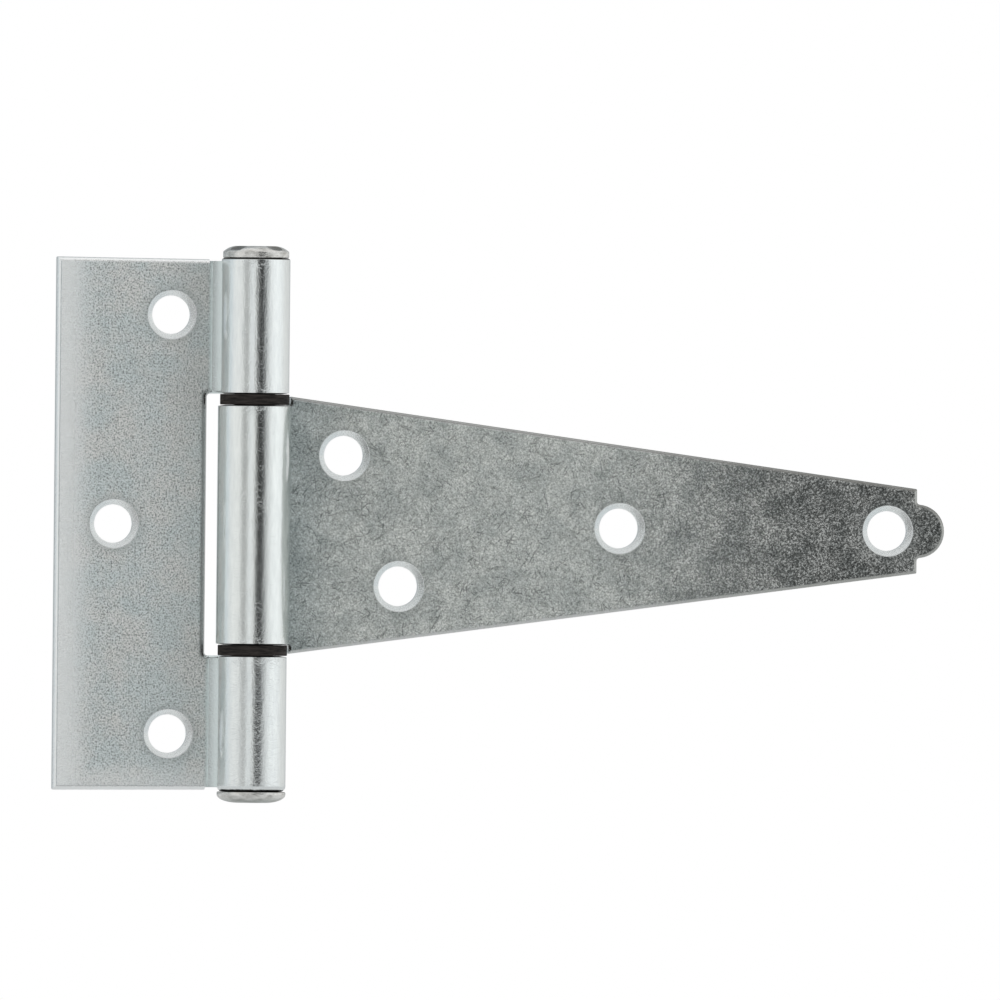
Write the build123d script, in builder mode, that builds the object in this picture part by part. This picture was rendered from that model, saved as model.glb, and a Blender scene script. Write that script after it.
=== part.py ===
from build123d import *

import os
from math import asin, degrees

# A T hinge in its mounted position. The pin stands along Z, the strap points along +X, the backs of
# both leaves lie on the plane y = 0, and the barrel stands proud of them towards -Y.

# Sheet, pin and the play between them
pad_thickness = 3.0
strap_thickness = 3.45
pin_diameter = 9.0
swing_clearance = 0.05
washer_clearance = 0.10
end_play = 0.05
seam_gap = 0.15

# Strap, measured from the pin's axis
strap_length = 152.4
strap_root = 8.3
strap_root_width = 56.2
strap_tip = 146.4
strap_tip_width = 18.45
nose_radius = 5.85
relief_radius = 0.7

# Barrel
barrel_length = 116.3
strap_knuckle_length = 52.3
washer_thickness = 2.3
washer_diameter = 15.15

# Pad, measured from the pin's axis
pad_edge = -43.0
pad_height = 116.3
pad_height_at_barrel = 115.7
notch_edge = -9.9
notch_corner_radius = 0.7
bend_start = -9.0
bend_end = -1.0
relief_edge = -9.6
relief_inner_edge = -6.2
top_relief_height = 57.5
bottom_relief_height = 57.3

# Pin heads: the top one is staked over with four shallow dents, the bottom one is a plain low dome
head_gap = 0.05
head_break = 0.25
top_head_diameter = 14.4
top_head_height = 2.6
top_head_side = 1.35
top_flat_diameter = 9.0
top_shoulder_crown = 0.25
bottom_head_diameter = 15.0
bottom_head_height = 2.4
bottom_head_side = 0.6
bottom_flat_diameter = 6.0
dent_count = 4
dent_start_angle = 40
dent_radius = 5.0
dent_circle_radius = 7.6
dent_rise = 1.5

# Screw holes as (x, z), countersunk from the front
pad_hole_radius = 4.2
pad_countersink_radius = 5.4
strap_hole_radius = 4.35
strap_countersink_radius = 5.55
countersink_angle = 82
pad_holes = [(-17.8, 45.7), (-30.1, 0.0), (-17.8, -45.7)]
strap_holes = [(20.3, 15.3), (32.5, -13.1), (80.9, 0.0), (139.9, 0.0)]

# Edges: shearing draws the front edges over, and the others are only broken
pad_front_roll = 1.25
strap_front_roll = 0.95
corner_radius = 0.3
edge_break = 0.3
rim_slope_width = 1.6
rim_slope_height = 0.25
top_end_roll = 0.6
bottom_end_roll = 1.2
bore_end_roll = 0.6
washer_break = 0.2

# What follows from them
pad_bore_radius = pin_diameter / 2
pad_knuckle_radius = pad_bore_radius + pad_thickness
strap_bore_radius = pin_diameter / 2 + swing_clearance
strap_knuckle_radius = strap_bore_radius + strap_thickness
pin_y = -strap_knuckle_radius
pad_set_forward = strap_knuckle_radius - pad_knuckle_radius
relief_width = relief_inner_edge - relief_edge
washer_centre = strap_knuckle_length / 2 + end_play + washer_thickness / 2
notch_top = washer_centre + washer_thickness / 2 + end_play
pin_axis = Axis((0, pin_y, 0), (0, 0, 1))


def curl_end_angle(plate_front, knuckle_radius):
    """Angle above the X axis where a curl's outer corner stops, just short of its own plate."""
    return degrees(asin((plate_front - seam_gap - pin_y) / knuckle_radius))


def near(edge, x, z):
    """Whether an edge lies at this x, and at this height above or below the middle."""
    middle = edge.center()
    return abs(middle.X - x) < edge_break and abs(abs(middle.Z) - z) < edge_break


def soften_plate(plate, joint_x, front_roll):
    """Draw over the front edges, round the outline's corners and break the back edges.

    The edges at joint_x are left sharp, because the knuckles are added there.
    """

    def is_free(edge):
        return abs(edge.center().X - joint_x) > edge_break

    fillet(plate.faces().sort_by(Axis.Y)[0].edges().filter_by(is_free), front_roll)
    fillet(plate.edges().filter_by(Axis.Y).filter_by(GeomType.LINE).filter_by(is_free), corner_radius)
    fillet(plate.faces().sort_by(Axis.Y)[-1].edges().filter_by(is_free), edge_break)


def rims(knuckle, radius):
    """The round edges of a knuckle's two ends at this radius, lowest first."""
    circles = knuckle.edges().filter_by(GeomType.CIRCLE).filter_by(lambda e: e.length > radius)
    return circles.filter_by(lambda e: abs(e.radius - radius) < 0.01).sort_by(Axis.Z)


def slope_rim(knuckle, radius, end):
    """Slope an end face of a knuckle away towards its outer rim: end 0 is the lower, -1 the upper."""
    end_face = knuckle.faces().sort_by(Axis.Z)[end]
    chamfer(rims(knuckle, radius)[end], rim_slope_width, rim_slope_height, reference=end_face)


def countersunk_holes(places, front_y, radius, countersink_radius):
    """Cut screw holes through a leaf at the (x, z) places, sunk from its front face."""
    with Locations(Plane.XZ.offset(-front_y)):
        with Locations(*places):
            CounterSinkHole(radius, countersink_radius, counter_sink_angle=countersink_angle)


os.makedirs("parts", exist_ok=True)

# Strap knuckle: the sheet passes behind the pin and curls round its far side, back to its own front
strap_middle = -strap_thickness / 2
strap_curl = 270 + curl_end_angle(-strap_thickness, strap_knuckle_radius)
strap_joint = strap_root - 4

with BuildPart() as strap_knuckle:
    with BuildSketch(Plane.XY.offset(-strap_knuckle_length / 2)):
        with BuildLine():
            Line((strap_root - 2, strap_middle), (0, strap_middle))
            CenterArc((0, pin_y), strap_middle - pin_y, 90, strap_curl)
        trace(line_width=strap_thickness)
    extrude(amount=strap_knuckle_length)
    slope_rim(strap_knuckle, strap_knuckle_radius, 0)
    slope_rim(strap_knuckle, strap_knuckle_radius, -1)

# Strap leaf: a long taper from square shoulders to a shouldered round nose
with BuildPart() as strap_leaf:
    with BuildSketch(Plane.XZ):
        with BuildLine():
            outline = Polyline(
                (strap_joint, strap_knuckle_length / 2),
                (strap_root, strap_knuckle_length / 2),
                (strap_root, strap_root_width / 2),
                (strap_tip, strap_tip_width / 2),
                (strap_tip, 0),
            )
            mirror(outline, about=Plane.XZ)
            Line((strap_joint, -strap_knuckle_length / 2), (strap_joint, strap_knuckle_length / 2))
        make_face()
        with Locations((strap_length - nose_radius, 0)):
            Circle(nose_radius)
    extrude(amount=strap_thickness)
    uprights = strap_leaf.edges().filter_by(Axis.Y)
    fillet(uprights.filter_by(lambda e: near(e, strap_root, strap_knuckle_length / 2)), relief_radius)
    fillet(uprights.filter_by(lambda e: near(e, strap_tip, nose_radius)), relief_radius)
    soften_plate(strap_leaf, strap_joint, strap_front_roll)
    add(strap_knuckle.part)
    countersunk_holes(strap_holes, -strap_thickness, strap_hole_radius, strap_countersink_radius)

strap_leaf.part.label = "strap_leaf"
export_step(strap_leaf.part, "parts/strap_leaf.step")

# Pad knuckle: the thinner sheet is set forward a little, so that both leaves share one back plane,
# and then curls the other way round the pin
pad_middle = -pad_thickness / 2
set_middle = pad_middle - pad_set_forward
pad_curl = 270 + curl_end_angle(-pad_thickness - pad_set_forward, pad_knuckle_radius)
bend_middle = ((bend_start + bend_end) / 2, (pad_middle + set_middle) / 2)


def rolled_pad_knuckle(end_roll):
    """A pad knuckle above the notch, with the rim at its outer end drawn over by end_roll."""
    with BuildPart() as knuckle:
        with BuildSketch(Plane.XY.offset(notch_top)):
            with BuildLine():
                Line((relief_edge, pad_middle), (bend_start, pad_middle))
                first_bend = TangentArc((bend_start, pad_middle), bend_middle, tangent=(1, 0))
                TangentArc(bend_middle, (bend_end, set_middle), tangent=first_bend % 1)
                Line((bend_end, set_middle), (0, set_middle))
                CenterArc((0, pin_y), set_middle - pin_y, 90, -pad_curl)
            trace(line_width=pad_thickness)
        extrude(amount=barrel_length / 2 - notch_top)
        fillet(rims(knuckle, pad_bore_radius), bore_end_roll)
        slope_rim(knuckle, pad_knuckle_radius, 0)
        fillet(rims(knuckle, pad_knuckle_radius)[-1], end_roll)
    return knuckle.part


# Pad leaf: a plate with a notch for the strap's knuckle, a knuckle above and below it, and a small
# relief at each end, where the sheet leaves the plate for the knuckle
with BuildPart() as pad_leaf:
    with BuildSketch(Plane.XZ):
        with BuildLine():
            outline = Polyline(
                (pad_edge, 0),
                (pad_edge, pad_height / 2),
                (bend_start, pad_height_at_barrel / 2),
                (bend_start, notch_top),
                (notch_edge, notch_top),
                (notch_edge, 0),
            )
            mirror(outline, about=Plane.XZ)
        make_face()
    extrude(amount=pad_thickness)
    uprights = pad_leaf.edges().filter_by(Axis.Y)
    fillet(uprights.filter_by(lambda e: near(e, notch_edge, notch_top)), notch_corner_radius)
    soften_plate(pad_leaf, bend_start, pad_front_roll)
    add(rolled_pad_knuckle(top_end_roll))
    mirror(rolled_pad_knuckle(bottom_end_roll), about=Plane.XY)
    with BuildSketch(Plane.XZ):
        with Locations((relief_edge, top_relief_height)):
            Rectangle(relief_width, barrel_length, align=(Align.MIN, Align.MIN))
        with Locations((relief_edge, -bottom_relief_height)):
            Rectangle(relief_width, barrel_length, align=(Align.MIN, Align.MAX))
    extrude(amount=pad_thickness + pad_set_forward, both=True, mode=Mode.SUBTRACT)
    countersunk_holes(pad_holes, -pad_thickness, pad_hole_radius, pad_countersink_radius)

pad_leaf.part.label = "pad_leaf"
export_step(pad_leaf.part, "parts/pad_leaf.step")

# Hinge pin: one shaft through all three knuckles, with a formed head beyond each end of the barrel
head_base = barrel_length / 2 + head_gap
pin_plane = Plane((0, pin_y, 0), x_dir=(1, 0, 0), z_dir=(0, -1, 0))
shaft_radius = pin_diameter / 2
top_radius = top_head_diameter / 2
bottom_radius = bottom_head_diameter / 2
bottom_flat_radius = bottom_flat_diameter / 2

with BuildPart() as hinge_pin:
    with BuildSketch(pin_plane):
        with BuildLine():
            Polyline(
                (bottom_flat_radius, -head_base - bottom_head_height),
                (0, -head_base - bottom_head_height),
                (0, head_base + top_head_height),
                (top_flat_diameter / 2, head_base + top_head_height),
            )
            SagittaArc(
                (top_flat_diameter / 2, head_base + top_head_height),
                (top_radius, head_base + top_head_side),
                top_shoulder_crown,
            )
            Polyline(
                (top_radius, head_base + top_head_side),
                (top_radius, head_base),
                (shaft_radius, head_base),
                (shaft_radius, -head_base),
                (bottom_radius, -head_base),
                (bottom_radius, -head_base - bottom_head_side),
            )
            EllipticalCenterArc(
                (bottom_flat_radius, -head_base - bottom_head_side),
                bottom_radius - bottom_flat_radius,
                bottom_head_height - bottom_head_side,
                start_angle=270,
                arc_size=90,
            )
        make_face()
    revolve(axis=pin_axis)
    head_rims = hinge_pin.edges().filter_by(GeomType.CIRCLE).filter_by(lambda e: e.radius > top_radius - 0.01)
    fillet(head_rims.filter_by(lambda e: abs(e.center().Z) < head_base + 0.01), head_break)
    with Locations((0, pin_y, head_base + dent_rise + dent_radius)):
        with PolarLocations(dent_circle_radius, dent_count, start_angle=dent_start_angle):
            Sphere(dent_radius, mode=Mode.SUBTRACT)

hinge_pin.part.label = "hinge_pin"
export_step(hinge_pin.part, "parts/hinge_pin.step")

# Washers: one on the pin between each pair of knuckles
for name, height in (("upper_washer", washer_centre), ("lower_washer", -washer_centre)):
    with BuildPart() as washer:
        with BuildSketch(Plane((0, pin_y, height))):
            Circle(washer_diameter / 2)
            Circle(pin_diameter / 2 + washer_clearance, mode=Mode.SUBTRACT)
        extrude(amount=washer_thickness / 2, both=True)
        fillet(washer.edges(), washer_break)
    washer.part.label = name
    export_step(washer.part, f"parts/{name}.step")
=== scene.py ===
import math

import bpy
from mathutils import Matrix, Vector


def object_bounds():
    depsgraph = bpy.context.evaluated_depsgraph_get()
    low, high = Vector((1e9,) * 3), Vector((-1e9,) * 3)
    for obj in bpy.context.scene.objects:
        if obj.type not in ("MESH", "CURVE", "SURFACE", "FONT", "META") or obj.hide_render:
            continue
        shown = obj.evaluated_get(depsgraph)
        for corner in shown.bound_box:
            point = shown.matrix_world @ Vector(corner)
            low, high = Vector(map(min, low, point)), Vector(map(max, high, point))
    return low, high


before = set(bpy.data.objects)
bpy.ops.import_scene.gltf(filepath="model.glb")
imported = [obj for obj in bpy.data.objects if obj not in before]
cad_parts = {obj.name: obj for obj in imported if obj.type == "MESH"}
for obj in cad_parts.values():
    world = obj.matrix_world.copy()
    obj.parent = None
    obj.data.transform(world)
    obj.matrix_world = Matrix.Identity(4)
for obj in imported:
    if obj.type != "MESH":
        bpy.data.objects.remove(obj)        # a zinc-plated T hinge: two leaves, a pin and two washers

cad_low, cad_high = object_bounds()
centre = (cad_low + cad_high) / 2

# Camera: a long lens, a little to the left of square on, and very slightly tilted
VIEW_AZIMUTH = -6.5
VIEW_ROLL = 0.56
VIEW_WIDTH = 0.2182
VIEW_DISTANCE = 9.0
AIM_RIGHT = -0.00067
AIM_UP = 0.00586
SENSOR = 36.0

# The hinge, in its own coordinates
PIN_Y = -0.008
PAD_HOLES = [(-0.0178, 0.0457), (-0.0301, 0.0), (-0.0178, -0.0457)]
PAD_COUNTERSINK = 0.0054
STRAP_HOLES = [(0.0203, 0.0153), (0.0325, -0.0131), (0.0809, 0.0), (0.1399, 0.0)]
STRAP_COUNTERSINK = 0.00555
DENT_COUNT = 4
DENT_START = 40
DENT_CIRCLE = 0.0054

# Where each finish starts and where it is complete. Barrels are distances from the pin's axis, heights
# are above or below the middle, and the others are places along X, or along Z for the low margin.
PAD_BARREL = (0.0084, 0.0079)
PAD_LEFT_MARGIN = (-0.0330, -0.0415)
PAD_LOW_MARGIN = (-0.0500, -0.0575)
PAD_RIGHT_SHADE = (-0.022, -0.012)
PAD_STRIP = (-0.0100, -0.0088)
PAD_DROOP = -0.034
NOTCH_SIDE = (-0.0116, -0.0106)
NOTCH_HEIGHT = (0.0296, 0.0284)
PAD_HEAD_HEIGHT = (0.05783, 0.05793)
PAD_WASHER_HEIGHT = (0.02883, 0.02875)
PAD_OUTER_SCUFFS = (0.0545, 0.0575)
PAD_INNER_SCUFFS = (0.0315, 0.0292)
STRAP_BARREL = (0.0086, 0.0082)
STRAP_ROOT = (0.022, 0.009)
STRAP_TIP = (0.066, 0.130)
STRAP_WASHER_HEIGHT = (0.02588, 0.02596)
STRAP_SCUFFS = (0.0232, 0.0258)
HEAD_UNDERSIDE = (0.05832, 0.05824)
TOP_HEAD_FLAT = (0.0597, 0.0600)
BOTTOM_HEAD_DOME = (-0.0592, -0.0606)

# Finishes that the leaves share
GRAIN_SCALE = 2700.0
RUB_SCALE = 900.0
WHITE = (1.0, 1.0, 1.0, 1.0)
# Zinc of the countersinks with painted light: brighter than the plate, standing in for the light they
# catch
COUNTERSINK_ZINC_AND_LIGHT = (0.92, 0.95, 0.945, 1.0)
PAD_SHADE = (0.42, 0.45, 0.44, 1.0)
# Painted shade for the narrow gaps at the pin's heads and at the washers, and its roughness
GAP_SHADE = (0.05, 0.05, 0.048, 1.0)
GAP_SHADE_ROUGHNESS = 0.6
COUNTERSINK_ROUGHNESS = 0.20
BARREL_ROUGHNESS = 0.11
SCUFF_ROUGHNESS = 0.16

# Studio light: degrees to the right of the camera's direction, level and tint
COOL = (0.93, 1.0, 1.04)
CLEAR = (0.985, 1.0, 1.005)
WARM = (1.0, 1.0, 0.99)
STUDIO = [
    (-173.4, 0.42, COOL),
    (-159, 0.43, COOL),
    (-127, 0.55, COOL),
    (-108, 0.64, COOL),
    (-92, 0.74, COOL),
    (-79, 0.81, CLEAR),
    (-60, 0.88, WARM),
    (-44, 0.82, WARM),
    (-36, 0.52, WARM),
    (-29, 0.44, WARM),
    (-23, 0.50, WARM),
    (-16, 0.78, CLEAR),
    (-7, 0.86, CLEAR),
    (1, 0.74, WARM),
    (8, 0.26, WARM),
    (14, 0.05, WARM),
    (27, 0.05, CLEAR),
    (36, 0.36, CLEAR),
    (48, 0.76, CLEAR),
    (60, 0.94, CLEAR),
    (75, 1.02, CLEAR),
    (95, 0.96, CLEAR),
    (116, 0.80, WARM),
    (139, 0.74, WARM),
    (186.4, 0.45, COOL),
]
OVERHEAD = (0.9, 0.9, 0.9, 1.0)
FLOOR_DROP = 0.065
FLOOR_SIZE = 3.0


# ---------------------------------------------------------------- nodes

def new_metal(name, metallic):
    """A material with a Principled shader, its tree and its shader."""
    material = bpy.data.materials.new(name)
    material.use_nodes = True
    shader = material.node_tree.nodes["Principled BSDF"]
    shader.inputs["Metallic"].default_value = metallic
    return material, material.node_tree, shader


def add(tree, kind, **settings):
    """A node of this kind with its settings."""
    made = tree.nodes.new(kind)
    for key, value in settings.items():
        setattr(made, key, value)
    return made


def plug(tree, source, target):
    """Join an output to an input, or set the input where the source is a plain value."""
    if isinstance(source, bpy.types.NodeSocket):
        tree.links.new(source, target)
    else:
        target.default_value = source


def calc(tree, operation, first, second=0.0):
    """One step of arithmetic."""
    made = add(tree, "ShaderNodeMath", operation=operation)
    plug(tree, first, made.inputs[0])
    plug(tree, second, made.inputs[1])
    return made.outputs[0]


def times(tree, first, second):
    """The product of two values."""
    return calc(tree, "MULTIPLY", first, second)


def highest(tree, first, *others):
    """The highest of these values."""
    for other in others:
        first = calc(tree, "MAXIMUM", first, other)
    return first


def distance(tree, across, along):
    """The length of two offsets at right angles."""
    return calc(tree, "SQRT", calc(tree, "ADD", times(tree, across, across), times(tree, along, along)))


def smooth(tree, value, start, end, low=0.0, high=1.0):
    """Ease from low to high as the value goes from start to end."""
    made = add(tree, "ShaderNodeMapRange", interpolation_type="SMOOTHSTEP")
    plug(tree, value, made.inputs["Value"])
    plug(tree, start, made.inputs["From Min"])
    plug(tree, end, made.inputs["From Max"])
    plug(tree, low, made.inputs["To Min"])
    plug(tree, high, made.inputs["To Max"])
    return made.outputs["Result"]


def ramp(tree, source, stops):
    """A colour ramp from (position, colour) stops."""
    made = add(tree, "ShaderNodeValToRGB")
    elements = made.color_ramp.elements
    elements.remove(elements[-1])
    for index, (position, colour) in enumerate(stops):
        element = elements[0] if index == 0 else elements.new(position)
        element.position = position
        element.color = (*colour, 1.0)
    plug(tree, source, made.inputs["Fac"])
    return made.outputs["Color"]


def mix(tree, factor, first, second, blend_type="MIX"):
    """Mix two colours."""
    made = add(tree, "ShaderNodeMix", data_type="RGBA", blend_type=blend_type)
    plug(tree, factor, made.inputs[0])
    plug(tree, first, made.inputs[6])
    plug(tree, second, made.inputs[7])
    return made.outputs[2]


def blend(tree, factor, first, second):
    """Mix two values."""
    made = add(tree, "ShaderNodeMix", data_type="FLOAT")
    plug(tree, factor, made.inputs[0])
    plug(tree, first, made.inputs[2])
    plug(tree, second, made.inputs[3])
    return made.outputs[0]


def layered(tree, join, base, layers):
    """The base with each (mask, colour or value) laid over it in turn."""
    for mask, value in layers:
        base = join(tree, mask, base, value)
    return base


def object_place(tree):
    """The point's place in the hinge's coordinates, whole and as x, y, z."""
    place = add(tree, "ShaderNodeTexCoord").outputs["Object"]
    parts = add(tree, "ShaderNodeSeparateXYZ")
    plug(tree, place, parts.inputs[0])
    return place, parts.outputs["X"], parts.outputs["Y"], parts.outputs["Z"]


def shifted(tree, place, offset, stretch=(1, 1, 1)):
    """The place moved and stretched, so that a texture does not repeat another one."""
    made = add(tree, "ShaderNodeMapping")
    plug(tree, place, made.inputs["Vector"])
    made.inputs["Location"].default_value = offset
    made.inputs["Scale"].default_value = stretch
    return made.outputs[0]


def noise(tree, place, scale, detail=2.0, roughness=0.5, distortion=0.0):
    """Soft noise around 0.5."""
    made = add(tree, "ShaderNodeTexNoise")
    plug(tree, place, made.inputs["Vector"])
    made.inputs["Scale"].default_value = scale
    made.inputs["Detail"].default_value = detail
    made.inputs["Roughness"].default_value = roughness
    made.inputs["Distortion"].default_value = distortion
    return made.outputs["Fac"]


def bump(tree, height, depth, normal=None):
    """A normal tilted by this height."""
    made = add(tree, "ShaderNodeBump")
    made.inputs["Strength"].default_value = 1.0
    made.inputs["Distance"].default_value = depth
    plug(tree, height, made.inputs["Height"])
    if normal is not None:
        plug(tree, normal, made.inputs["Normal"])
    return made.outputs["Normal"]


# ---------------------------------------------------------------- masks and marks

def axis_distance(tree, x, y):
    """Distance from the pin's axis."""
    return distance(tree, x, calc(tree, "SUBTRACT", y, PIN_Y))


def countersinks(tree, x, z, holes, radius):
    """Masks for the countersinks, for painted shade on the plate just round them, and for a painted
    highlight on their lower right sides.
    """
    ring = 0.0
    rim_shade = 0.0
    lit = 0.0
    for hole_x, hole_z in holes:
        across = calc(tree, "SUBTRACT", x, hole_x)
        up = calc(tree, "SUBTRACT", z, hole_z)
        away = distance(tree, across, up)
        inside = smooth(tree, away, radius + 0.0001, radius - 0.0001)
        side = calc(tree, "SUBTRACT", times(tree, across, 0.8), times(tree, up, 0.6))
        ring = highest(tree, ring, inside)
        rim_shade = highest(tree, rim_shade, smooth(tree, away, radius + 0.0022, radius))
        lit = highest(tree, lit, times(tree, inside, smooth(tree, side, -0.003, 0.004)))
    return ring, calc(tree, "SUBTRACT", rim_shade, ring), lit


def rolled_edge(tree):
    """A mask for the plate's drawn-over front edge and its cut sides, and how far they face up."""
    parts = add(tree, "ShaderNodeSeparateXYZ")
    plug(tree, add(tree, "ShaderNodeTexCoord").outputs["Normal"], parts.inputs[0])
    facing = calc(tree, "ABSOLUTE", parts.outputs["Y"])
    return smooth(tree, facing, 0.985, 0.90), parts.outputs["Z"]


def hairlines(tree, place, scale, offset, width):
    """Fine curved scratches: level lines of a soft noise, broken up by another."""
    moved = shifted(tree, place, offset)
    field = noise(tree, moved, scale, 1.0, 0.4, 0.8)
    away = calc(tree, "ABSOLUTE", calc(tree, "SUBTRACT", field, 0.5))
    line = smooth(tree, away, width, 0.0)
    return times(tree, line, smooth(tree, noise(tree, moved, scale * 1.9, 1.0), 0.5, 0.6))


def bent(tree, place):
    """The place pushed about by a soft noise, so that straight marks come out gently curved."""
    field = add(tree, "ShaderNodeTexNoise")
    plug(tree, place, field.inputs["Vector"])
    field.inputs["Scale"].default_value = 130.0
    field.inputs["Detail"].default_value = 1.0
    push = add(tree, "ShaderNodeVectorMath", operation="MULTIPLY_ADD")
    plug(tree, field.outputs["Color"], push.inputs[0])
    push.inputs[1].default_value = (0.0040, 0.0040, 0.0040)
    plug(tree, place, push.inputs[2])
    return push.outputs[0]


def cuts(tree, place, offset, turn):
    """Fine long scratches, all in about one direction in the plane of the leaves."""
    spin = add(tree, "ShaderNodeVectorRotate", rotation_type="Y_AXIS")
    plug(tree, place, spin.inputs["Vector"])
    spin.inputs["Angle"].default_value = math.radians(turn)
    drawn = shifted(tree, spin.outputs[0], offset, (0.055, 1.0, 1.0))
    return smooth(tree, noise(tree, drawn, 2600.0, 1.0, 0.4), 0.655, 0.72)


def strap_scratches(tree, place):
    """Curled and straight scratches, some of them faint."""
    curls = hairlines(tree, place, 95.0, (0.0, 0.0, 0.0), 0.0055)
    for offset in ((0.21, 0.1, 0.05), (0.47, 0.3, 0.33)):
        curls = highest(tree, curls, hairlines(tree, place, 120.0, offset, 0.0065))
    lines = 0.0
    curved = bent(tree, place)
    for turn, offset in ((8, 0.1), (37, 0.2), (64, 0.3), (98, 0.4), (131, 0.7), (-24, 0.9)):
        lines = highest(tree, lines, cuts(tree, curved, (offset, 0, 0), turn))
    faint = smooth(tree, noise(tree, shifted(tree, place, (0.5, 0, 0)), 260.0, 2.0), 0.38, 0.62, 0.25, 1.0)
    return highest(tree, times(tree, curls, 0.7), times(tree, lines, faint))


def rubbing(tree, place):
    """Noise drawn out along the barrel."""
    return noise(tree, shifted(tree, place, (0.3, 0, 0), (1, 1, 0.25)), RUB_SCALE, 3.0, 0.65)


def scuffs(tree, place, ends):
    """Blotchy rubbed patches towards the ends of a knuckle."""
    patches = noise(tree, shifted(tree, place, (0.7, 0.2, 0)), 420.0, 4.0, 0.65)
    return times(tree, smooth(tree, patches, 0.50, 0.62), ends)


def barrel_roughness(tree, scuffed):
    """Nearly polished, and duller in the scuffs."""
    return calc(tree, "ADD", times(tree, scuffed, SCUFF_ROUGHNESS), BARREL_ROUGHNESS)


def barrel_relief(tree, rub, scuffed):
    """A trace of waviness, and of depth in the scuffs."""
    return calc(tree, "ADD", times(tree, rub, 0.15), times(tree, scuffed, 0.10))


def all_but(tree, quiet):
    """Nearly nothing where quiet is 1."""
    return calc(tree, "SUBTRACT", 1.0, times(tree, quiet, 0.92))


# ---------------------------------------------------------------- materials

def pad_zinc():
    """Bright zinc with a fine matt grain on the plate, rubbed smooth on the knuckles and beside them, with
    painted light and painted shade laid on.
    """
    material, tree, shader = new_metal("pad_zinc_plate", 1.0)
    place, x, y, z = object_place(tree)
    height = calc(tree, "ABSOLUTE", z)
    barrel = smooth(tree, axis_distance(tree, x, y), *PAD_BARREL)
    # Beside the knuckles: rubbed smoother, and painted lighter where the plate curves up into the barrel
    strip_rub_and_sheen = smooth(tree, x, *PAD_STRIP)
    # Painted shade round the countersinks, and a painted highlight on their lower right sides
    ring, rim_shade, lit = countersinks(tree, x, z, PAD_HOLES, PAD_COUNTERSINK)
    edge, _ = rolled_edge(tree)
    low_margin = smooth(tree, z, *PAD_LOW_MARGIN)
    # Painted sheen: the left margin, and half as much the low margin, lighter in colour and also smoother
    margin_sheen = highest(tree, smooth(tree, x, *PAD_LEFT_MARGIN), times(tree, low_margin, 0.5))
    # Painted shade on the plate in the notch, beside the strap's knuckle
    notch_shade = times(tree, smooth(tree, x, *NOTCH_SIDE), smooth(tree, height, *NOTCH_HEIGHT))
    right = times(tree, smooth(tree, x, *PAD_RIGHT_SHADE), smooth(tree, z, 0.0, 0.05, 0.10, 0.26))
    head_gap = times(tree, barrel, smooth(tree, height, *PAD_HEAD_HEIGHT))
    washer_gap = times(tree, barrel, smooth(tree, height, *PAD_WASHER_HEIGHT))
    # Painted shade in the gaps at the pin's head and at the washers
    gap_shade = highest(tree, head_gap, washer_gap)

    grain = noise(tree, place, GRAIN_SCALE, 3.0, 0.7)
    speckle = noise(tree, shifted(tree, place, (0.1, 0, 0)), 1300.0, 2.0, 0.6)
    blotch = noise(tree, place, 120.0, 3.0, 0.55)
    rub = rubbing(tree, place)
    outer = smooth(tree, height, *PAD_OUTER_SCUFFS)
    inner = smooth(tree, height, *PAD_INNER_SCUFFS)
    scuffed = scuffs(tree, place, highest(tree, outer, inner))

    tone = ramp(tree, grain, [
        (0.36, (0.25, 0.26, 0.257)),
        (0.50, (0.79, 0.82, 0.81)),
        (0.61, (1.0, 1.0, 1.0)),
    ])
    tint = ramp(tree, blotch, [(0.38, (0.90, 0.95, 0.96)), (0.62, (1.0, 0.99, 0.98))])
    polished = ramp(tree, rub, [(0.3, (0.80, 0.835, 0.835)), (0.7, (0.88, 0.915, 0.905))])
    colour = layered(tree, mix, mix(tree, 1.0, tone, tint, "MULTIPLY"), (
        (times(tree, rim_shade, 0.30), PAD_SHADE),
        (right, PAD_SHADE),
        (times(tree, margin_sheen, 0.9), (0.97, 0.99, 0.985, 1.0)),
        (edge, (0.95, 0.965, 0.96, 1.0)),
        (times(tree, notch_shade, 0.65), (0.24, 0.26, 0.255, 1.0)),
        (strip_rub_and_sheen, (0.88, 0.95, 0.95, 1.0)),
        (ring, COUNTERSINK_ZINC_AND_LIGHT),
        (lit, WHITE),
        (barrel, polished),
        (gap_shade, GAP_SHADE),
    ))
    plug(tree, colour, shader.inputs["Base Color"])

    rough = layered(tree, blend, 0.38, (
        (margin_sheen, 0.24),
        (edge, 0.18),
        (strip_rub_and_sheen, 0.26),
        (ring, COUNTERSINK_ROUGHNESS),
        (barrel, barrel_roughness(tree, scuffed)),
        (gap_shade, GAP_SHADE_ROUGHNESS),
    ))
    plug(tree, rough, shader.inputs["Roughness"])

    quiet = highest(tree, barrel, ring, strip_rub_and_sheen, times(tree, edge, 0.8))
    carved = times(tree, calc(tree, "ADD", grain, times(tree, speckle, 0.8)), all_but(tree, quiet))
    relief = calc(tree, "ADD", carved, times(tree, barrel_relief(tree, rub, scuffed), barrel))
    inward = highest(tree, calc(tree, "SUBTRACT", PAD_DROOP, x), 0.0)
    droop = bump(tree, times(tree, times(tree, inward, inward), -9.0), 1.0)
    plug(tree, bump(tree, relief, 0.00030, droop), shader.inputs["Normal"])
    return material


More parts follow.
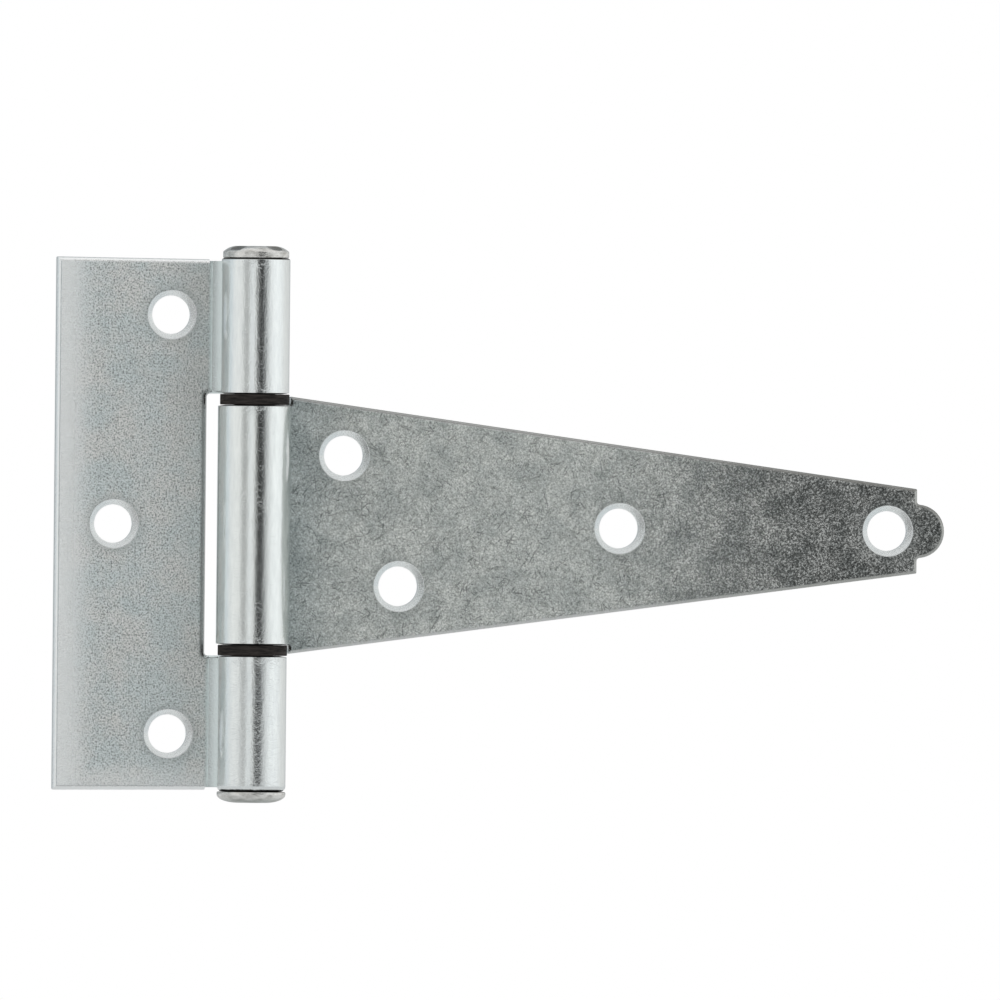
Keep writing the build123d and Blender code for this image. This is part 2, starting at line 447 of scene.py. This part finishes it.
def strap_zinc():
    """Duller zinc, speckled and finely scratched, darker and harder towards the tip, with painted light
    and painted shade laid on.
    """
    material, tree, shader = new_metal("strap_zinc_plate", 1.0)
    place, x, y, z = object_place(tree)
    height = calc(tree, "ABSOLUTE", z)
    barrel = smooth(tree, axis_distance(tree, x, y), *STRAP_BARREL)
    # Painted shade round the countersinks, and a painted highlight on their lower right sides
    ring, rim_shade, lit = countersinks(tree, x, z, STRAP_HOLES, STRAP_COUNTERSINK)
    edge, edge_up = rolled_edge(tree)
    root = smooth(tree, x, *STRAP_ROOT)
    tip = smooth(tree, x, *STRAP_TIP)
    # Painted shade in the gaps at the washers
    gap_shade = times(tree, barrel, smooth(tree, height, *STRAP_WASHER_HEIGHT))

    grain = noise(tree, place, GRAIN_SCALE, 3.0, 0.7)
    speckle = noise(tree, shifted(tree, place, (0.1, 0, 0)), 1500.0, 2.0, 0.6)
    blotch = noise(tree, place, 180.0, 4.0, 0.6)
    rub = rubbing(tree, place)
    scratches = strap_scratches(tree, place)
    scuffed = scuffs(tree, place, smooth(tree, height, *STRAP_SCUFFS))

    even = ramp(tree, grain, [
        (0.32, (0.34, 0.36, 0.345)),
        (0.50, (0.645, 0.67, 0.65)),
        (0.68, (0.95, 0.97, 0.95)),
    ])
    hard = ramp(tree, blend(tree, 0.14, grain, blotch), [
        (0.38, (0.05, 0.052, 0.05)),
        (0.50, (0.20, 0.206, 0.20)),
        (0.62, (0.72, 0.73, 0.72)),
    ])
    tint = ramp(tree, blotch, [(0.35, (0.80, 0.82, 0.82)), (0.62, (1.05, 1.05, 1.04))])
    plate = mix(tree, 1.0, mix(tree, tip, even, hard), tint, "MULTIPLY")
    plate = layered(tree, mix, plate, (
        (times(tree, scratches, 0.55), (0.08, 0.088, 0.084, 1.0)),
        (times(tree, rim_shade, 0.2), (0.25, 0.27, 0.265, 1.0)),
    ))
    plate = mix(tree, root, plate, (0.76, 0.80, 0.82, 1.0), "MULTIPLY")
    # Painted light and shade on the rolled edges: darker where they face up, lighter where they face down,
    # and darker towards the tip
    edge_shading = ramp(tree, edge_up, [(0.0, (0.66, 0.67, 0.66)), (0.5, (0.36, 0.36, 0.35))])
    edge_shading = mix(tree, tip, edge_shading, (0.74, 0.74, 0.72, 1.0), "MULTIPLY")
    polished = ramp(tree, rub, [(0.3, (0.80, 0.835, 0.825)), (0.7, (0.88, 0.915, 0.90))])
    colour = layered(tree, mix, plate, (
        (times(tree, edge, 0.85), edge_shading),
        (ring, COUNTERSINK_ZINC_AND_LIGHT),
        (lit, WHITE),
        (barrel, polished),
        (gap_shade, GAP_SHADE),
    ))
    plug(tree, colour, shader.inputs["Base Color"])

    rough = layered(tree, blend, blend(tree, tip, 0.40, 0.26), (
        (edge, 0.24),
        (ring, COUNTERSINK_ROUGHNESS),
        (barrel, barrel_roughness(tree, scuffed)),
        (gap_shade, GAP_SHADE_ROUGHNESS),
    ))
    plug(tree, rough, shader.inputs["Roughness"])

    quiet = highest(tree, barrel, ring, times(tree, edge, 0.8))
    carved = calc(tree, "ADD", grain, times(tree, speckle, 0.5))
    carved = calc(tree, "SUBTRACT", carved, times(tree, scratches, 0.4))
    carved = times(tree, carved, all_but(tree, quiet))
    relief = calc(tree, "ADD", carved, times(tree, barrel_relief(tree, rub, scuffed), barrel))
    plug(tree, bump(tree, relief, 0.00018), shader.inputs["Normal"])
    return material


def pin_zinc():
    """Slightly warmer zinc on the heads, the lower head darker towards its bottom; painted shade darkens
    the shaft, the heads' undersides and the dents.
    """
    material, tree, shader = new_metal("pin_zinc_plate", 1.0)
    place, x, y, z = object_place(tree)
    height = calc(tree, "ABSOLUTE", z)
    grain = noise(tree, place, 1300.0, 3.0, 0.6)
    marks = noise(tree, shifted(tree, place, (0, 0, 0), (1, 1, 2.5)), 420.0, 3.0, 0.6)
    tone = ramp(tree, marks, [
        (0.32, (0.50, 0.495, 0.47)),
        (0.5, (0.74, 0.735, 0.71)),
        (0.68, (0.90, 0.895, 0.87)),
    ])
    tone = mix(tree, smooth(tree, z, *BOTTOM_HEAD_DOME), tone, (0.42, 0.46, 0.44, 1.0), "MULTIPLY")
    # Painted shade in the dents on the top head
    dent_shade = 0.0
    for turn in range(DENT_COUNT):
        angle = math.radians(DENT_START + 360 / DENT_COUNT * turn)
        across = calc(tree, "SUBTRACT", x, DENT_CIRCLE * math.cos(angle))
        along = calc(tree, "SUBTRACT", y, PIN_Y + DENT_CIRCLE * math.sin(angle))
        dent_shade = highest(tree, dent_shade, smooth(tree, distance(tree, across, along), 0.0021, 0.0017))
    dent_shade = times(tree, dent_shade, smooth(tree, z, *TOP_HEAD_FLAT))
    # Painted shade on the shaft and the heads' undersides, in the gaps beside the knuckles
    under_head_shade = smooth(tree, height, *HEAD_UNDERSIDE)
    colour = layered(tree, mix, tone, (
        (times(tree, dent_shade, 0.85), (0.12, 0.12, 0.11, 1.0)),
        (under_head_shade, (0.04, 0.04, 0.038, 1.0)),
    ))
    plug(tree, colour, shader.inputs["Base Color"])
    plug(tree, blend(tree, under_head_shade, 0.26, GAP_SHADE_ROUGHNESS), shader.inputs["Roughness"])
    relief = calc(tree, "ADD", times(tree, grain, 0.4), marks)
    plug(tree, bump(tree, relief, 0.00018), shader.inputs["Normal"])
    return material


def washer_black():
    """Matt black-brown fibre with fine level streaks round its edge."""
    material, tree, shader = new_metal("washer_black", 0.0)
    place = object_place(tree)[0]
    streaks = noise(tree, shifted(tree, place, (0, 0, 0), (0.35, 0.35, 3.0)), 800.0, 3.0, 0.65)
    tone = ramp(tree, streaks, [(0.36, (0.006, 0.005, 0.004)), (0.64, (0.046, 0.038, 0.034))])
    plug(tree, tone, shader.inputs["Base Color"])
    shader.inputs["Roughness"].default_value = 0.7
    shader.inputs["Specular IOR Level"].default_value = 0.25
    plug(tree, bump(tree, streaks, 0.0003), shader.inputs["Normal"])
    return material


def finish_nodes():
    """Give each carried-over node its finish."""
    washer = washer_black()
    finishes = {
        "pad_leaf": pad_zinc(),
        "strap_leaf": strap_zinc(),
        "hinge_pin": pin_zinc(),
        "upper_washer": washer,
        "lower_washer": washer,
    }
    for node, material in finishes.items():
        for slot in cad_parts[node].material_slots:
            slot.material = material


# ---------------------------------------------------------------- studio

def make_world():
    """A soft studio: broad light on both sides, and a dark gap just right of where the camera stands.

    Seen directly it is plain white.
    """
    world = bpy.data.worlds.new("studio")
    bpy.context.scene.world = world
    world.use_nodes = True
    tree = world.node_tree
    background = tree.nodes["Background"]
    parts = add(tree, "ShaderNodeSeparateXYZ")
    plug(tree, add(tree, "ShaderNodeTexCoord").outputs["Generated"], parts.inputs[0])
    forward = times(tree, parts.outputs["Y"], -1.0)
    angle = calc(tree, "ARCTAN2", parts.outputs["X"], forward)
    turn = calc(tree, "ADD", calc(tree, "DIVIDE", angle, 2 * math.pi), 0.5)
    stops = []
    for degrees_right, level, tint in STUDIO:
        position = 0.5 + (degrees_right + VIEW_AZIMUTH) / 360.0
        stops.append((position, tuple(level * part for part in tint)))
    overhead = smooth(tree, parts.outputs["Z"], 0.75, 0.95)
    light = mix(tree, overhead, ramp(tree, turn, stops), OVERHEAD)
    plug(tree, light, background.inputs["Color"])
    plain = add(tree, "ShaderNodeBackground")
    plain.inputs["Color"].default_value = WHITE
    seen = add(tree, "ShaderNodeMixShader")
    plug(tree, add(tree, "ShaderNodeLightPath").outputs["Is Camera Ray"], seen.inputs[0])
    plug(tree, background.outputs[0], seen.inputs[1])
    plug(tree, plain.outputs[0], seen.inputs[2])
    plug(tree, seen.outputs[0], tree.nodes["World Output"].inputs["Surface"])


def make_floor():
    """A pale floor below the hinge."""
    mesh = bpy.data.meshes.new("floor")
    half = FLOOR_SIZE / 2
    level = cad_low.z - FLOOR_DROP
    corners = [(x * half, y * half, level) for x, y in ((-1, -1), (1, -1), (1, 1), (-1, 1))]
    mesh.from_pydata(corners, [], [(0, 1, 2, 3)])
    floor = bpy.data.objects.new("floor", mesh)
    bpy.context.scene.collection.objects.link(floor)
    material, _, shader = new_metal("pale_floor", 0.0)
    shader.inputs["Roughness"].default_value = 0.8
    shader.inputs["Base Color"].default_value = (0.9, 0.9, 0.9, 1.0)
    mesh.materials.append(material)


def make_camera():
    """The photographer's camera."""
    camera = bpy.data.objects.new("camera", bpy.data.cameras.new("camera"))
    bpy.context.scene.collection.objects.link(camera)
    camera.data.sensor_width = SENSOR
    camera.data.lens = SENSOR * VIEW_DISTANCE / VIEW_WIDTH
    camera.data.clip_start = 0.1
    camera.data.clip_end = 30.0
    azimuth = math.radians(VIEW_AZIMUTH)
    right = Vector((math.cos(azimuth), math.sin(azimuth), 0))
    back = Vector((math.sin(azimuth), -math.cos(azimuth), 0))
    up = Vector((0, 0, 1))
    aim = centre + AIM_RIGHT * right + AIM_UP * up
    turned = Matrix((right, up, back)).transposed() @ Matrix.Rotation(math.radians(VIEW_ROLL), 3, "Z")
    camera.matrix_world = Matrix.Translation(aim + VIEW_DISTANCE * back) @ turned.to_4x4()
    bpy.context.scene.camera = camera


make_camera()
make_world()
make_floor()
finish_nodes()
bpy.context.scene.view_settings.view_transform = "Standard"
